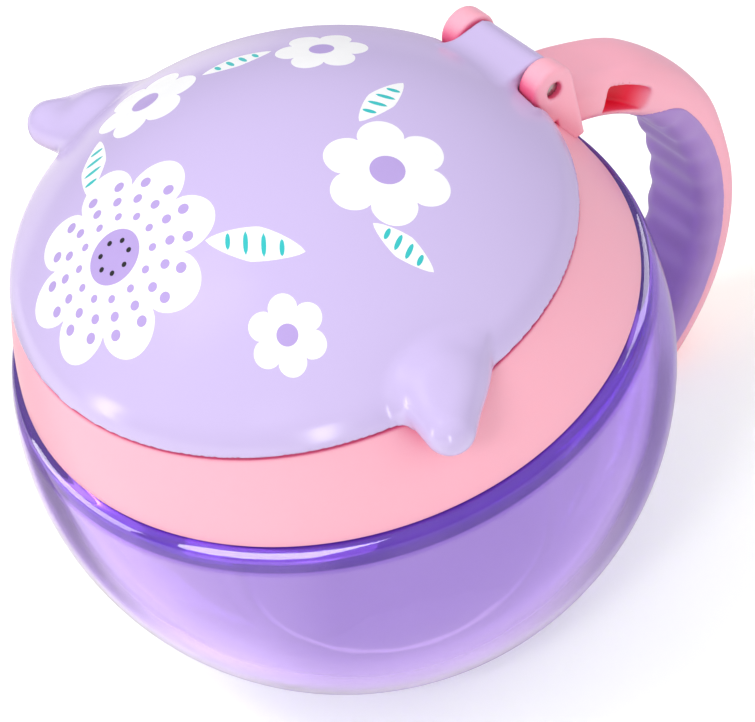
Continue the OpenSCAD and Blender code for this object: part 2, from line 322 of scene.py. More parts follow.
def piece(name, points, faces, finish, body, nodes=(), smooth=True):
    """A finished piece from points in millimetres, riding on its body in place of its CAD nodes."""
    mesh = bpy.data.meshes.new(name)
    mesh.from_pydata((np.asarray(points, float) * MM).tolist(), [], faces)
    mesh.update()
    mesh.materials.append(finish.material)
    if smooth:
        mesh.shade_smooth()
    else:
        mesh.shade_flat()
    made = bpy.data.objects.new(name, mesh)
    bpy.context.scene.collection.objects.link(made)
    return settle(made, body, nodes)


def settle(made, body, nodes=()):
    """Rides a piece on its body and hides the CAD nodes it stands in for."""
    if body:
        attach(made, body)
    if nodes:
        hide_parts(*nodes)
    return made


def length(*parts):
    """Length of a vector from its parts."""
    return np.sqrt(sum(p * p for p in parts))


def joined(a, b, blend):
    """Distance field of two forms together, with a fillet of about that size between them."""
    near = np.maximum(blend - np.abs(a - b), 0) / blend
    return np.minimum(a, b) - near * near * blend / 4


def common(a, b, blend):
    """What two forms share, with its edge rounded."""
    return -joined(-a, -b, blend)


def cut(a, b, blend):
    """Form a without form b, with its edge rounded."""
    return common(a, -b, blend)


def block(a, b, c, half, edge):
    """Distance to a box with rounded edges, from the distances to its centre along three axes."""
    q = [np.abs(v) - (h - edge) for v, h in zip((a, b, c), half)]
    outside = length(*(np.maximum(v, 0) for v in q))
    return outside + np.minimum(np.maximum(q[0], np.maximum(q[1], q[2])), 0) - edge


def skin(field, low, high, cell):
    """Points and faces of the closed surface on which a distance field is zero, in cells of one size."""
    axes = [np.arange(a - 2.5 * cell, b + 3 * cell, cell) for a, b in zip(low, high)]
    value = field(*np.meshgrid(*axes, indexing="ij"))
    inside = value < 0
    size = [n - 1 for n in value.shape]
    corners = [np.array(c) for c in np.ndindex(2, 2, 2)]
    filled = sum(inside[c[0]:c[0] + size[0], c[1]:c[1] + size[1], c[2]:c[2] + size[2]].astype(np.int8)
                 for c in corners)
    mixed = (filled > 0) & (filled < 8)
    cells = np.argwhere(mixed)
    number = np.zeros(mixed.shape, np.int64)
    number[mixed] = np.arange(len(cells))
    at = {tuple(c): value[tuple((cells + c).T)] for c in corners}
    total = np.zeros((len(cells), 3))
    hits = np.zeros(len(cells))
    for start in corners:
        for axis in range(3):
            if start[axis]:
                continue
            step = np.eye(3, dtype=int)[axis]
            a, b = at[tuple(start)], at[tuple(start + step)]
            crossed = (a < 0) != (b < 0)
            share = a[crossed] / (a[crossed] - b[crossed])
            total[crossed] += start + share[:, None] * step
            hits[crossed] += 1
    points = np.array([a[0] for a in axes]) + cell * (cells + total / hits[:, None])
    points = drawn_to(field, points, cell)
    faces = []
    for axis in range(3):
        one, two = (axis + 1) % 3, (axis + 2) % 3
        low_end = np.take(inside, range(size[axis]), axis)
        high_end = np.take(inside, range(1, size[axis] + 1), axis)
        edges = np.argwhere(low_end != high_end)
        e1, e2 = np.eye(3, dtype=int)[one], np.eye(3, dtype=int)[two]
        ring = [number[tuple((edges + offset).T)] for offset in (-e1 - e2, -e2, 0 * e1, -e1)]
        quads = np.stack(ring, 1)
        outward = low_end[tuple(edges.T)]
        quads[~outward] = quads[~outward][:, ::-1]
        faces.append(quads)
    return points, np.concatenate(faces).tolist()


def drawn_to(field, points, cell):
    """Points moved onto the surface along the field's slope."""
    reach = 0.02
    rounds = 3
    for _ in range(rounds):
        value = field(*points.T)
        slope = np.stack([(field(*(points + reach * e).T) - field(*(points - reach * e).T)) / (2 * reach)
                          for e in np.eye(3)], 1)
        steep = np.maximum((slope ** 2).sum(1), 0.2)
        move = -(value / steep)[:, None] * slope
        far = np.maximum(np.linalg.norm(move, axis=1) / (0.6 * cell), 1)
        points = points + move / far[:, None]
    return points


def filleted(path, steps=8):
    """Path of (radius, height, fillet, lean) with its corners rounded, as (radius, height, lean)."""
    out = []
    for i, (r, z, fillet, lean) in enumerate(path):
        before, after = path[i - 1], path[(i + 1) % len(path)]
        here = np.array([r, z])
        back = np.array(before[:2]) - here
        ahead = np.array(after[:2]) - here
        room = min(np.linalg.norm(back), np.linalg.norm(ahead)) * 0.49
        back, ahead = back / np.linalg.norm(back), ahead / np.linalg.norm(ahead)
        half = math.acos(max(-1, min(1, back @ ahead))) / 2
        if fillet <= 0 or half > 1.55:
            out.append((r, z, lean))
            continue
        reach = min(fillet / math.tan(half), room)
        start, end = here + back * reach, here + ahead * reach
        for t in np.linspace(0, 1, steps + 1):
            p = (1 - t) ** 2 * start + 2 * t * (1 - t) * here + t * t * end
            out.append((p[0], p[1], lean))
    return out


def turned(profile, closed, segments=240):
    """Points and faces of a profile turned about the axis; each point's ring leans forward by its lean."""
    angles = np.arange(segments) * 2 * math.pi / segments
    points = [(r * math.cos(a), r * math.sin(a) - lean, z) for r, z, lean in profile for a in angles]
    count = len(profile)
    faces = []
    for i in range(count if closed else count - 1):
        here, there = i * segments, (i + 1) % count * segments
        for k in range(segments):
            n = (k + 1) % segments
            faces.append((here + k, here + n, there + n, there + k))
    return points, faces


def merged(made):
    """Joins doubled points and turns the faces outwards."""
    grid = bmesh.new()
    grid.from_mesh(made.data)
    bmesh.ops.remove_doubles(grid, verts=grid.verts, dist=0.000004)
    bmesh.ops.dissolve_degenerate(grid, edges=grid.edges, dist=0.000001)
    bmesh.ops.recalc_face_normals(grid, faces=grid.faces)
    grid.to_mesh(made.data)
    grid.free()
    return made


def spun(points, angle):
    """Points turned about the axis by an angle."""
    c, s = math.cos(angle), math.sin(angle)
    return [(c * x - s * y, s * x + c * y, z) for x, y, z in points]


def arc(radius, start, end, steps):
    """Points on a ball's outline between two heights, for a turned profile."""
    low, high = (math.asin((height - ball_z) / radius) for height in (start, end))
    angles = np.linspace(low, high, steps)
    return [(radius * math.cos(a), ball_z + radius * math.sin(a), 0.0, 0.0) for a in angles]


def cup_body():
    """Ball cup with a rounded foot, a thick shoulder and a neck."""
    foot_r = math.sqrt(ball_r ** 2 - ball_z ** 2)
    top_in = shoulder_z - cup_wall
    edge_r = math.sqrt(ball_r ** 2 - shoulder_up ** 2)
    outside = [(0, 0, 0, 0), (foot_r, 0, 3.0, 0)]
    outside += arc(ball_r, 2.2, shoulder_z - shoulder_round, 60)
    rim = [(edge_r - 0.2, shoulder_z, shoulder_round, 0), (neck_out, shoulder_z, 0.8, 0),
           (neck_out, neck_top, 0.9, 0), (neck_in, neck_top, 0.9, 0), (neck_in, top_in, 1.2, 0)]
    inner_r = ball_r - cup_wall
    inner_edge = math.sqrt(inner_r ** 2 - (top_in - ball_z) ** 2)
    inside = [(inner_edge, top_in, 2.0, 0)]
    inside += arc(inner_r, top_in - 3, cup_floor + 2.5, 56)
    inner_foot = math.sqrt(inner_r ** 2 - (ball_z - cup_floor) ** 2)
    inside += [(inner_foot, cup_floor, 3.0, 0), (0, cup_floor, 0, 0)]
    profile = filleted(outside + rim + inside)
    profile[0], profile[-1] = (0, 0, 0), (0, cup_floor, 0)
    points, faces = turned(profile, closed=False)
    return merged(piece("cup_shell", points, faces, clear, "cup", ["cup"]))


def rib(inner, outer, middle, turn):
    """Points and faces of one thread rib that climbs along the helix to the angle turn."""
    steps = 24
    half = thread_h / 2
    slope = (outer - inner) * 0.25
    corners = [(inner, -half), (outer, -half + slope), (outer, half - slope), (inner, half)]
    points = []
    for i in range(steps + 1):
        a = turn * (i / steps)
        taper = min(1.0, 5 * min(i, steps - i) / steps + 0.15)
        rise = middle + thread_lead * (a - turn) / (2 * math.pi)
        for r, z in corners:
            reach = inner + (r - inner) * taper
            points.append((reach * math.cos(a), reach * math.sin(a), rise + z))
    faces = [(0, 1, 2, 3), tuple(4 * steps + k for k in (3, 2, 1, 0))]
    for i in range(steps):
        for k in range(4):
            n = (k + 1) % 4
            faces.append((4 * i + k, 4 * i + 4 + k, 4 * i + 4 + n, 4 * i + n))
    return points, faces


def round_tree(finish):
    """Geometry nodes: copies of a form, evenly turned about the axis."""
    tree = bpy.data.node_groups.new("copies round the axis", "GeometryNodeTree")
    tree.interface.new_socket("Form", in_out="INPUT", socket_type="NodeSocketGeometry")
    number = tree.interface.new_socket("Copies", in_out="INPUT", socket_type="NodeSocketInt")
    tree.interface.new_socket("Form", in_out="OUTPUT", socket_type="NodeSocketGeometry")
    nodes, links = tree.nodes, tree.links
    given = nodes.new("NodeGroupInput")
    result = nodes.new("NodeGroupOutput")
    centres = nodes.new("GeometryNodePoints")
    copies = nodes.new("GeometryNodeInstanceOnPoints")
    order = nodes.new("GeometryNodeInputIndex")
    step = nodes.new("ShaderNodeMath")
    step.operation = "DIVIDE"
    step.inputs[0].default_value = 2 * math.pi
    turn = nodes.new("ShaderNodeMath")
    turn.operation = "MULTIPLY"
    about_z = nodes.new("ShaderNodeCombineXYZ")
    real = nodes.new("GeometryNodeRealizeInstances")
    paint = nodes.new("GeometryNodeSetMaterial")
    paint.inputs["Material"].default_value = finish.material
    links.new(given.outputs["Copies"], centres.inputs["Count"])
    links.new(given.outputs["Copies"], step.inputs[1])
    links.new(order.outputs[0], turn.inputs[0])
    links.new(step.outputs[0], turn.inputs[1])
    links.new(turn.outputs[0], about_z.inputs["Z"])
    links.new(centres.outputs[0], copies.inputs["Points"])
    links.new(given.outputs["Form"], copies.inputs["Instance"])
    links.new(about_z.outputs[0], copies.inputs["Rotation"])
    links.new(copies.outputs[0], real.inputs[0])
    links.new(real.outputs[0], paint.inputs["Geometry"])
    links.new(paint.outputs[0], result.inputs[0])
    return tree, number.identifier


def copies_round(made, count, finish):
    """Turns a piece into evenly turned copies of itself, as one plain mesh."""
    tree, number = round_tree(finish)
    modifier = made.modifiers.new("copies", "NODES")
    modifier.node_group = tree
    modifier[number] = count
    bpy.context.view_layer.update()
    evaluated = made.evaluated_get(bpy.context.evaluated_depsgraph_get())
    mesh = bpy.data.meshes.new_from_object(evaluated)
    made.modifiers.clear()
    made.data = mesh
    return made


def thread_ribs():
    """Lugs on the cup's neck and the ledges in the collar that run under them."""
    play = 0.25
    turn = math.radians(lug_arc)
    middle = neck_top - 3.4
    points, faces = rib(neck_out - 0.3, lug_r, middle, turn)
    lugs = piece("thread_lugs", points, faces, clear, None, smooth=False)
    settle(merged(copies_round(lugs, lug_count, clear)), "cup")
    ledge_turn = math.radians(60)
    points, faces = rib(skirt_in + 0.3, neck_out + 0.4, middle - thread_h - play, ledge_turn)
    ledges = piece("collar_ledges", spun(points, turn - ledge_turn), faces, pink, None, smooth=False)
    settle(merged(copies_round(ledges, lug_count, pink)), "collar")


def collar_radius(z):
    """Radius and lean of the collar's outer skin at a height."""
    t = np.clip((z - collar_z) / (deck_z - collar_z), 0, 1)
    swell = 4 * collar_swell * t * (1 - t)
    return collar_low_r + (collar_top_r - collar_low_r) * t + swell, lid_shift * t


def collar_band():
    """Collar: a gently swelling skin from the cup to the lid, its deck and its threaded skirt."""
    path = []
    for z in np.linspace(collar_z + 0.7, deck_z - 0.7, 26):
        radius, lean = collar_radius(z)
        path.append((radius, z, 0, lean))
    top_r, top_lean = collar_radius(deck_z)
    path = [(collar_low_r - 1.6, collar_z, 0.3, 0), (collar_low_r, collar_z, 0.5, 0)] + path
    path += [(top_r, deck_z, 0.6, top_lean), (mouth_r, deck_z, 0.5, 0), (mouth_r, deck_under, 0.3, 0),
             (skirt_in, deck_under, 0.3, 0), (skirt_in, collar_z + 0.6, 0.3, 0),
             (skirt_in + skirt_wall, collar_z + 0.6, 0.3, 0), (skirt_in + skirt_wall, collar_z + 4.0, 0.2, 0)]
    for z in (collar_z + 4.0, collar_z + 2.2, collar_z + 0.9):
        radius, lean = collar_radius(z)
        path.append((radius - collar_wall, z, 0.2, lean))
    profile = filleted(path)
    points, faces = turned(profile, closed=True, segments=288)
    return merged(piece("collar_band", points, faces, pink, "collar", ["collar"]))


def soft_step(share):
    """Soft step from 0 to 1."""
    t = np.clip(share, 0, 1)
    return t * t * (3 - 2 * t)


def strap_field(x, y, z, end=-bow_end):
    """Distance to the handle's bow: a rounded bar bent round its centre and crowned on its back."""
    crown_rise = 1.7
    far = 30.0
    across, up = y - bow_y, z - bow_z
    angle = np.arctan2(up, across)
    degrees = np.degrees(angle)
    crown = crown_rise * soft_step((degrees - 4) / 18) * soft_step((64 - degrees) / 18)
    crown = crown * (1 - np.minimum(np.abs(x) / (handle_w / 2), 1) ** 2)
    off = length(across, up) - bow_mid
    off = np.where(off > 0, np.maximum(off - crown, 0), off)
    past = np.maximum(end - angle, 0) * bow_mid
    past = np.where(angle < -2.2, far, past)
    return block(x, length(off, past), 0 * x, (handle_w / 2, handle_t / 2, 50), handle_round)


def round_bow(y, z):
    """Radius and angle in degrees about the handle's centre."""
    across, up = y - bow_y, z - bow_z
    return length(across, up), np.degrees(np.arctan2(up, across))


def pocket_field(x, y, z):
    """Distance to the side pockets: sharp and deep at the hinge end, shallow and round at the other."""
    hinge_end = 63
    pocket_r = 32.95
    pocket_length = 9.6
    radius, angle = round_bow(y, z)
    along = (angle - hinge_end) * math.pi / 180 * bow_mid
    share = np.clip(-along / 9.5, 0, 1)
    floor = handle_w / 2 - 5.2 + 4.6 * share ** 2.2
    height = 2.25 - 0.5 * share ** 3
    wall = np.abs(radius - pocket_r) - height
    shape = common(wall, np.maximum(along, -pocket_length - along), 1.0)
    return common(shape, floor - np.abs(x), 0.6)


def hinge_field(x, y, z):
    """Distance to the ears, the stiff bow of the handle and its root."""
    root_angle = 88
    column_z = 70.0
    edge = 0.8
    side = np.abs(x)
    hinge_line = length(y - pin_y, z - pin_z)
    _, angle = round_bow(y, z)
    strap = common(strap_field(x, y, z), np.where(angle > 150, 20.0, (angle - root_angle) * 0.5), 0.5)
    column = np.maximum(np.abs(y - pin_y) - ear_r, np.abs(z - column_z) - (pin_z - column_z))
    plate = np.minimum(hinge_line - ear_r, column) + edge
    thick = np.abs(side - ear_in - ear_w / 2) - ear_w / 2 + edge
    ears = length(np.maximum(plate, 0), np.maximum(thick, 0))
    ears = ears + np.minimum(np.maximum(plate, thick), 0) - edge
    body = joined(ears, strap, 2.4)
    inside_collar = np.maximum(length(x, y) - skirt_in - 0.4, z - deck_under - 1.0)
    body = cut(body, inside_collar, 0.4)
    barrel_room = np.maximum(hinge_line - barrel_r - 0.5, side - ear_in)
    body = cut(body, barrel_room, 0.3)
    body = cut(body, hinge_line - pin_r - 0.12, 0.25)
    return cut(body, pocket_field(x, y, z), 0.5)


def handle_bow():
    """Stiff pink bow with the hinge ears; its side pockets carry their depth as the mask of the painted red
    glow in the finish.
    """
    low = (-ear_in - ear_w, 36.0, 0.5)
    high = (ear_in + ear_w, bow_y + bow_r, pin_z + ear_r)
    points, faces = skin(hinge_field, low, high, 0.4)
    made = piece("handle_bow", points, faces, pink, "collar", ["handle"])
    # Mask of the painted red glow in the side pockets, stronger deeper in
    depth = np.clip((handle_w / 2 - 0.3 - np.abs(points[:, 0])) / 2.4, 0, 1)
    depth = np.where(pocket_field(*points.T) < 0.45, depth ** 0.8, 0)
    attribute = made.data.attributes.new("pocket_glow_mask", "FLOAT", "POINT")
    attribute.data.foreach_set("value", depth.astype(np.float32))
    return made


def grip_edge(angle):
    """Radius at which the soft grip ends, from the flush side line to the lead at its top."""
    t = np.clip((angle - 29) / 20.5, 0, 1)
    return grip_r - (grip_r - bow_in + 0.6) * t * t * (2.2 - 1.2 * t)


def grip_field(x, y, z):
    """Distance to the soft grip with its finger ridges."""
    pitch = 10.7
    ridge_rise = 0.42
    radius, angle = round_bow(y, z)
    wave = 0.5 + 0.5 * np.cos((angle - 34) * 2 * math.pi / pitch)
    ends = np.clip((41 - angle) / 9, 0, 1) * np.clip((angle + 56) / 6, 0, 1)
    fade = np.clip((grip_r + 0.4 - radius) / (grip_r - bow_in), 0, 1)
    ridge = ridge_rise * wave * ends * fade
    form = strap_field(x, y, z, math.radians(-56.5)) - 0.1 - ridge
    return common(form, radius - grip_edge(angle), 0.35)


def handle_grip():
    """Soft grip on the bow's inner side."""
    low = (-handle_w / 2 - 1, bow_y + bow_in * math.cos(bow_end) - 2, 0.5)
    high = (handle_w / 2 + 1, bow_y + grip_r, bow_z + 30)
    points, faces = skin(grip_field, low, high, 0.35)
    return piece("grip_sleeve", points, faces, rubber, "collar", ["handle_grip"])


def triangle_distance(x, y, z, corners):
    """Distance to a triangle in space."""
    p = np.stack([x, y, z])
    a, b, c = (np.array(v, float).reshape(3, *[1] * x.ndim) for v in corners)
    normal = np.cross((b - a).ravel(), (a - c).ravel()).reshape(a.shape)

    def dot(u, v):
        return (u * v).sum(0)

    sides = 0
    nearest = np.inf
    for s, e in ((a, b), (b, c), (c, a)):
        edge = e - s
        to = p - s
        flat_normal = np.cross(edge.ravel(), normal.ravel()).reshape(a.shape)
        sides = sides + np.sign(dot(flat_normal, to))
        t = np.clip(dot(edge, to) / dot(edge, edge), 0, 1)
        nearest = np.minimum(nearest, dot(edge * t - to, edge * t - to))
    flat = dot(normal, p - a) ** 2 / dot(normal, normal)
    return np.sqrt(np.where(np.abs(sides) < 2.5, nearest, flat))


def tab_field(side, y, z):
    """Distance to a plump side tab with a round tip, and the crown that runs it into the dome."""
    plump = 3.7
    tip = (lid_high[0] - plump, -11.9, rim_z + 1.3)
    front = (lid_r - 3.6, -10.6, rim_z + 1.9)
    rear = (lid_r - 3.1, -2.1, rim_z + 1.6)
    plate = triangle_distance(side, y, z, (tip, front, rear)) - plump
    crown = length(side - 39.8, (y + 7.3) * 0.92, z - rim_z - 2.3) - 5.1
    return joined(plate, crown, 3.0)


def lid_field(x, y, z):
    """Distance to the lid: dome, rim, side tabs, hinge block and plug ring."""
    room = 0.45
    side = np.abs(x)
    ahead = y + lid_shift
    out = length(x, ahead)
    hinge_line = length(y - pin_y, z - pin_z)
    # Dome with a rounded rim, and the tabs, which meet the rim crisply on their rear side
    ball = length(x, ahead, z - dome_z) - dome_r
    form = common(common(ball, out - lid_r, 2.6), rim_z - z, 0.5)
    crisp = np.clip((y + 7) / 4, 0, 1) * np.clip((rim_z + 4.5 - z) / 2, 0, 1)
    form = joined(form, tab_field(side, y, z), 2.3 - 1.8 * crisp)
    # Hinge block and barrel, with room for the collar's ears beside them
    beside = np.abs(side - ear_in - ear_w / 2) - ear_w / 2 - room
    round_ears = np.maximum(hinge_line - ear_r - room, beside)
    under_ears = np.maximum(pin_y - ear_r - room - y, np.maximum(z - pin_z, beside))
    form = cut(form, np.minimum(round_ears, under_ears), 0.5)
    ramp = block(x, y - (pin_y - 4.5), z - (pin_z - 0.5), (barrel_half, 4.5, barrel_r + 0.45), 0.4)
    behind = np.maximum(pin_y - y, z - pin_z)
    form = joined(form, cut(ramp, behind, 0.3), 1.8)
    form = np.minimum(form, np.maximum(hinge_line - barrel_r, side - barrel_half))
    # Room for the collar below the rim, and the hollow under the dome
    skin_r, skin_lean = collar_radius(z)
    collar_room = np.maximum(length(x, y + skin_lean) - skin_r - 0.5, z - rim_z)
    form = cut(form, np.maximum(collar_room, y - pin_y + 4.2), 0.5)
    hollow = common(ball + lid_wall, out - lid_r + lid_wall, 2.0)
    form = cut(form, hollow, 0.4)
    # Plug ring, which hangs into the mouth, and the pin's bore
    ring = np.abs(length(x, y) - plug_r + plug_wall / 2) - plug_wall / 2
    plug = np.maximum(ring, np.maximum(ring_high[2] + 0.7 - z, ball + lid_wall / 2))
    form = joined(form, plug, 0.5)
    return cut(form, hinge_line - pin_r - pin_play, 0.2)


def lid_shell():
    """Lid in one moulding with its tabs, barrel and plug ring."""
    points, faces = skin(lid_field, lid_low, lid_high, 0.53)
    return piece("lid_shell", points, faces, lavender, "lid", ["lid"])


def draped(made, lift):
    """Bends a flat form over the lid's dome, keeping its distances from the crown."""
    mesh = made.data
    flat = np.array([v.co for v in mesh.vertices]) / MM
    reach = np.maximum(np.hypot(flat[:, 0], flat[:, 1]), 1e-6)
    tilt = reach / dome_r
    radius = dome_r + lift + flat[:, 2]
    x = radius * np.sin(tilt) * flat[:, 0] / reach
    y = radius * np.sin(tilt) * flat[:, 1] / reach - lid_shift
    z = dome_z + radius * np.cos(tilt)
    mesh.vertices.foreach_set("co", (np.stack([x, y, z], 1) * MM).ravel())
    mesh.update()
    return made


def flat_form(outline, size, ring_step=1.2, around=72):
    """A thin closed form with a star-shaped outline: points and faces, centred, in millimetres."""
    rings = max(2, int(size / ring_step))
    angles = np.arange(around) * 2 * math.pi / around
    reach = outline(angles)
    points, faces = [], []
    thickness = 0.015
    for level in (-thickness, thickness):
        start = len(points)
        points.append((0, 0, level))
        for ring in range(1, rings + 1):
            share = ring / rings
            points += [(share * r * math.cos(a), share * r * math.sin(a), level)
                       for a, r in zip(angles, reach)]
        order = 1 if level > 0 else -1
        for k in range(around):
            n = (k + 1) % around
            faces.append((start, start + 1 + k, start + 1 + n)[::order])
            for ring in range(rings - 1):
                a, b = start + 1 + ring * around, start + 1 + (ring + 1) * around
                faces.append((a + k, b + k, b + n, a + n)[::order])
    half = len(points) // 2
    edge = 1 + (rings - 1) * around
    for k in range(around):
        n = (k + 1) % around
        faces.append((edge + k, edge + n, half + edge + n, half + edge + k))
    return np.array(points), faces


def placed(form, x, y, turn=0.0):
    """A flat form moved to its place on the flat plan of the lid."""
    points, faces = form
    c, s = math.cos(turn), math.sin(turn)
    moved = points.copy()
    moved[:, 0] = x + c * points[:, 0] - s * points[:, 1]
    moved[:, 1] = y + s * points[:, 0] + c * points[:, 1]
    return moved, faces


def gathered(forms):
    """Several flat forms as one set of points and faces."""
    points, faces = [], []
    for form_points, form_faces in forms:
        start = sum(len(p) for p in points)
        points.append(form_points)
        faces += [tuple(start + i for i in face) for face in form_faces]
    return np.concatenate(points), faces


def petals(count, depth, size):
    """Outline of a flower with round petals."""
    return lambda a: size * (1 - depth * (1 - np.abs(np.cos(count * a / 2)) ** 0.7))


def leaf(size):
    """Outline of a leaf with two pointed ends."""
    slim = 0.36
    sharp = 1.35
    return lambda a: size / (np.abs(np.cos(a)) ** sharp + (np.abs(np.sin(a)) / slim) ** sharp) ** (1 / sharp)


def disc(size):
    """Outline of a round dot."""
    return lambda a: size + 0 * a


def bar(tall):
    """Outline of a leaf's stripe."""
    half_width = 0.36
    return lambda a: 1 / np.sqrt((np.cos(a) / half_width) ** 2 + (np.sin(a) / tall) ** 2)


def printed(name, forms, finish, lift):
    """Flat forms of one ink, draped over the dome as one piece that rides on the lid."""
    points, faces = gathered(forms)
    made = piece(name, points, faces, finish, None)
    made.data.set_sharp_from_angle(angle=math.radians(40))
    return settle(draped(made, lift), "lid")


def big_flower(x, y, size):
    """Flower with dotted petals and seeds: its petals, heart, dots and seeds."""
    flower = placed(flat_form(petals(8, 0.28, size), size, around=192), x, y, 0.2)
    heart = placed(flat_form(disc(4.4), 4.4), x, y)
    dots = []
    for ring, count, dot in ((6.6, 12, 0.62), (9.4, 16, 0.75), (12.2, 16, 0.85)):
        for k in range(count):
            a = 2 * math.pi * (k + 0.5 * (count == 16)) / count + 0.2
            form = flat_form(disc(dot), dot, 0.5, 20)
            dots.append(placed(form, x + ring * math.cos(a), y + ring * math.sin(a)))
    seeds = []
    seed_count = 7
    for k in range(seed_count):
        a = 2 * math.pi * k / seed_count
        seed = flat_form(disc(0.42), 0.42, 0.3, 16)
        seeds.append(placed(seed, x + 2.6 * math.cos(a), y + 2.6 * math.sin(a)))
    return flower, heart, dots, seeds


def lid_print():
    """Generic print of flowers, leaves and dots on the dome."""
    small = [(-26.0, -4.0, 8.5), (17.0, 9.0, 9.5), (-12.0, 20.0, 7.0), (26.5, -19.0, 6.0)]
    leaf_places = [(13.5, -13.0, 7.5, 0.6), (-22.0, -17.5, 6.5, 2.4), (5.5, 17.5, 6.0, 1.9),
                   (28.0, 2.5, 5.5, 0.2), (-19.5, 9.5, 5.5, 1.2)]
    flower, heart, dots, seeds = big_flower(-4.0, -27.0, 16.5)
    flowers, hearts, leaves, stripes = [flower], [heart], [], []
    for i, (x, y, size) in enumerate(small):
        flowers.append(placed(flat_form(petals(6, 0.3, size), size, around=144), x, y, 0.5 * i))
        hearts.append(placed(flat_form(disc(size * 0.27), size * 0.27, 0.8, 36), x, y))
    for x, y, size, turn in leaf_places:
        leaves.append(placed(flat_form(leaf(size), size), x, y, turn))
        c, s = math.cos(turn), math.sin(turn)
        for k in (-0.54, -0.18, 0.18, 0.54):
            tall = 0.27 * size * (1 - abs(k) ** 1.35) ** 0.74
            stripe = flat_form(bar(tall), 1.0, 0.4, 28)
            stripes.append(placed(stripe, x + k * size * c, y + k * size * s, turn + 0.25))
    printed("print_flowers", flowers, white_ink, 0.0)
    printed("print_leaves", leaves, white_ink, 0.0)
    printed("print_flower_hearts", hearts, lilac_ink, 0.02)
    printed("print_petal_dots", dots, lilac_ink, 0.02)
    printed("print_leaf_stripes", stripes, teal_ink, 0.02)
    printed("print_seeds", seeds, black_ink, 0.04)


def insert_ring():
    """Ring of the soft insert, with the six-sided opening that the flaps fill."""
    side = span("flap_1")[1][0] + 0.3
    count = 240
    low_z, high_z = ring_low[2], ring_high[2]
    edge = 0.5
    angles = np.arange(count) * 2 * math.pi / count
    sector = math.pi / flap_count

    def hexagon(flat):
        return flat / np.cos((angles + sector) % (2 * sector) - sector)

    loops = [(lug_r - edge, low_z, 0), (lug_r, low_z + edge, 0), (lug_r, high_z - edge, 0),
             (lug_r - edge, high_z, 0), (side + 1.2, high_z, 1), (side + 0.3, high_z - 0.1, 1),
             (side, high_z - 0.6, 1), (side, low_z + 0.6, 1), (side + 0.4, low_z, 1)]
    points = []
    for r, z, six in loops:
        reach = hexagon(r) if six else r + 0 * angles
        points += [(q * math.cos(a), q * math.sin(a), z) for q, a in zip(reach, angles)]
    faces = []
    for i in range(len(loops)):
        here, there = i * count, (i + 1) % len(loops) * count
        for k in range(count):
            n = (k + 1) % count
            faces.append((here + k, here + n, there + n, there + k))
    return merged(piece("insert_ring", points, faces, silicone, "insert", ["flap_ring"]))


def insert_flap(k):
    """One soft flap: a rounded wedge with a beaded root, slightly dished towards its tip."""
    tip, root = 3.0, 28.5
    rows, columns = 26, 18
    middle = (ring_low[2] + ring_high[2]) / 2
    half_angle = math.pi / flap_count
    margin = slit_w / 2 / math.cos(half_angle)
    outline = []
    for i in range(rows + 1):
        t = i / rows
        along = tip + (root - tip) * t
        half = along * math.tan(half_angle) - margin
        soft = 1 - (1 - min(1, t * 9)) ** 2
        outline.append((along, half * (0.35 + 0.65 * soft)))
    points = []
    for level in (1, -1):
        for along, half in outline:
            near_tip = (root - along) / (root - tip)
            thick = 0.7 - 0.25 * near_tip
            bead = 0.22 * math.exp(-(along - root + 1.5) ** 2)
            dish = 0.3 * near_tip ** 2
            for j in range(columns + 1):
                s = 2 * j / columns - 1
                roll = (1 - abs(s) ** 8) ** 0.5
                points.append((along, half * s, middle - dish + level * (thick + bead) * roll))
    width = columns + 1
    under = (rows + 1) * width
    faces = []
    for i in range(rows):
        for j in range(columns):
            a = i * width + j
            faces.append((a, a + width, a + width + 1, a + 1))
            b = under + a
            faces.append((b, b + 1, b + width + 1, b + width))
    for j in range(columns):
        faces.append((j, j + 1, under + j + 1, under + j))
        last = rows * width + j
        faces.append((last + 1, last, under + last, under + last + 1))
    points = spun(points, 2 * half_angle * k)
    made = piece(f"soft_flap_{k + 1}", points, faces, silicone, None)
    return settle(merged(made), f"flap_{k + 1}", [f"flap_{k + 1}"])


def view_axes():
    """Right, up and back directions of the photograph's camera, and the point it looks at."""
    azimuth, elevation, roll = (math.radians(a) for a in (61.713, 46.083, -15.865))
    back = Vector((math.sin(azimuth) * math.cos(elevation), -math.cos(azimuth) * math.cos(elevation),
                   math.sin(elevation)))
    level = Vector((math.cos(azimuth), math.sin(azimuth), 0))
    upright = back.cross(level)
    right = math.cos(roll) * level + math.sin(roll) * upright
    up = math.cos(roll) * upright - math.sin(roll) * level
    aside, above = 5.002, 0.139
    target = Vector((0, 0, ball_z)) + aside * right + above * up
    return right, up, back, target


def stand_camera():
    """Camera at the photograph's viewing angle."""
    distance = 600
    right, up, back, target = view_axes()
    data = bpy.data.cameras.new("camera")
    data.sensor_width = 36
    data.lens = 189.97
    data.clip_start = 0.05
    camera = bpy.data.objects.new("camera", data)
    turn = Matrix((right, up, back)).transposed().to_4x4()
    camera.matrix_world = Matrix.Translation((target + distance * back) * MM) @ turn
    bpy.context.scene.collection.objects.link(camera)
    bpy.context.scene.camera = camera


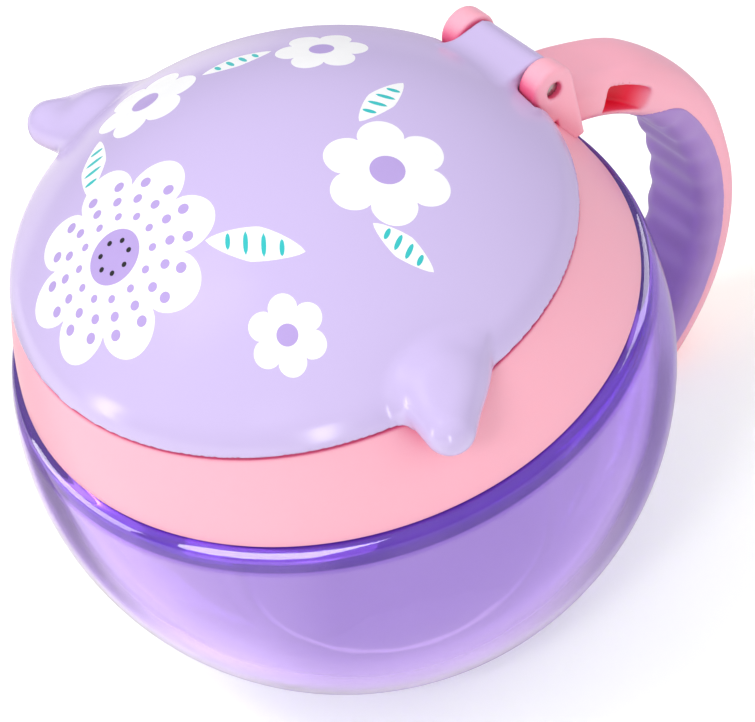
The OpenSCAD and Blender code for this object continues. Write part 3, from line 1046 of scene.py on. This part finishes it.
def softbox(name, sideways, upwards, towards, size, power, mirrored=True, lights=True, only=None):
    """A soft light, placed in millimetres along the photograph's right, up and camera directions.

    It may be left out of mirror images, or only be seen in them, and may shine on one piece only.
    """
    right, up, back, target = view_axes()
    data = bpy.data.lights.new(name, "AREA")
    data.shape = "RECTANGLE"
    data.size, data.size_y = size
    data.energy = power
    lamp = bpy.data.objects.new(name, data)
    place = (target + sideways * right + upwards * up + towards * back) * MM
    lamp.location = place
    lamp.rotation_euler = (place - target * MM).to_track_quat("Z", "Y").to_euler()
    lamp.visible_glossy = mirrored
    lamp.visible_diffuse = lights
    bpy.context.scene.collection.objects.link(lamp)
    if only:
        group = bpy.data.collections.new(name + " receivers")
        group.objects.link(only)
        lamp.light_linking.receiver_collection = group


def surroundings():
    """A white studio: bright above, and below the horizon as the clear cup mirrors and passes it.

    The floor isn't seen in mirrored and passed rays. There the lower half is painted by direction:
    bright at the left and low in the frame, with a darker band on each side behind the cup.
    """
    white = (1, 1, 1, 1)
    violet_white = (0.9, 0.8, 1.0, 1)
    warm_white = (1.0, 0.96, 0.92, 1)
    world = bpy.data.worlds.new("white studio")
    world.use_nodes = True
    net = Network(world.node_tree)
    toward = net.add("ShaderNodeTexCoord").outputs["Generated"]
    height = net.add("ShaderNodeSeparateXYZ", {"Vector": toward}).outputs["Z"]
    side, rise, depth = (net.along(toward, axis) for axis in view_axes()[:3])
    above = net.product(net.ranged(height, 0.0, 0.7, 0.28, 0.66), net.ranged(side, -0.9, 0.9, 1.05, 0.8))
    dark = net.product(
        net.ranged(depth, -0.70, -0.68, 1.0, 0.0),
        net.ranged(net.math("ABSOLUTE", side), 0.15, 0.4, 0.0, 1.0),
        net.ranged(side, -0.1, 0.1, 1.0, 0.55),
        net.ranged(depth, -0.97, -0.88, 0.0, 1.0),
        net.ranged(rise, -0.5, -0.3, 0.3, 1.0),
        net.ranged(rise, -0.04, 0.06, 1.0, 0.3),
    )
    bright = net.total(
        net.ranged(side, -0.3, 0.0, 0.65, 0.0),
        net.ranged(rise, -0.42, -0.12, 0.42, 0.0),
        net.ranged(side, 0.04, 0.25, 0.0, 0.05),
    )
    below = net.product(net.total(bright, 0.67), net.math("SUBTRACT", 1.0, net.product(dark, 0.68)))
    tint = net.mix(net.ranged(bright, 0.0, 0.3, 0.0, 1.0), violet_white, warm_white)
    horizon = net.ranged(height, -0.12, -0.08, 0.0, 1.0)
    strength = net.add("ShaderNodeMix", {0: horizon, 2: below, 3: above}).outputs[0]
    backdrop = net.tree.nodes["Background"]
    net.tree.links.new(net.mix(horizon, tint, white), backdrop.inputs["Color"])
    net.tree.links.new(strength, backdrop.inputs["Strength"])
    bpy.context.scene.world = world


def studio(cup, lid):
    """Pale floor, white surroundings and soft lights."""
    reach = 3.0
    level = -0.00005
    scene = bpy.context.scene
    scene.view_settings.view_transform = "Standard"
    surroundings()
    mesh = bpy.data.meshes.new("floor")
    corners = [(x * reach, y * reach, level) for x, y in ((-1, -1), (1, -1), (1, 1), (-1, 1))]
    mesh.from_pydata(corners, [], [(0, 1, 2, 3)])
    floor = bpy.data.objects.new("floor", mesh)
    paper = Finish("white paper", Roughness=0.9)
    paper.shader.inputs["Emission Color"].default_value = (0.985, 1, 0.96, 1)
    paper.shader.inputs["Emission Strength"].default_value = 0.34
    paper.drive("Base Color", paper.mix(paper.noise(9, 3), (0.89, 0.915, 0.86, 1), (0.91, 0.935, 0.88, 1)))
    paper.bump(paper.noise(900, 3), 0.0001, 0.1)
    mesh.materials.append(paper.material)
    scene.collection.objects.link(floor)
    floor.visible_glossy = False
    floor.visible_transmission = False
    softbox("key softbox", -420, 330, 420, (0.3, 0.3), 1.9, mirrored=False)
    softbox("front softbox", -190, -60, 560, (0.12, 0.12), 0.82, mirrored=False)
    softbox("shoulder gloss", -330, -60, 540, (0.5, 0.66), 13.0, lights=False, only=cup)
    softbox("left gloss", -660, -20, 20, (0.5, 0.4), 5.0, lights=False, only=cup)
    softbox("right gloss", 330, 420, 0, (0.3, 0.4), 2.2, lights=False, only=cup)
    softbox("tab gloss", 20, -400, 480, (0.08, 0.3), 0.75, lights=False, only=lid)
    softbox("tab side gloss", -630, -150, 130, (0.08, 0.3), 0.65, lights=False, only=lid)
    softbox("fill softbox", 480, 290, 430, (0.7, 0.7), 1.35, mirrored=False)


def pin():
    """The CAD pin keeps its mesh and takes the steel."""
    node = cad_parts["hinge_pin"]
    node.data.materials.clear()
    node.data.materials.append(steel.material)


cup = cup_body()
thread_ribs()
collar_band()
handle_bow()
handle_grip()
lid = lid_shell()
lid_print()
insert_ring()
for k in range(flap_count):
    insert_flap(k)
pin()
stand_camera()
studio(cup, lid)

bpy.context.view_layer.update()
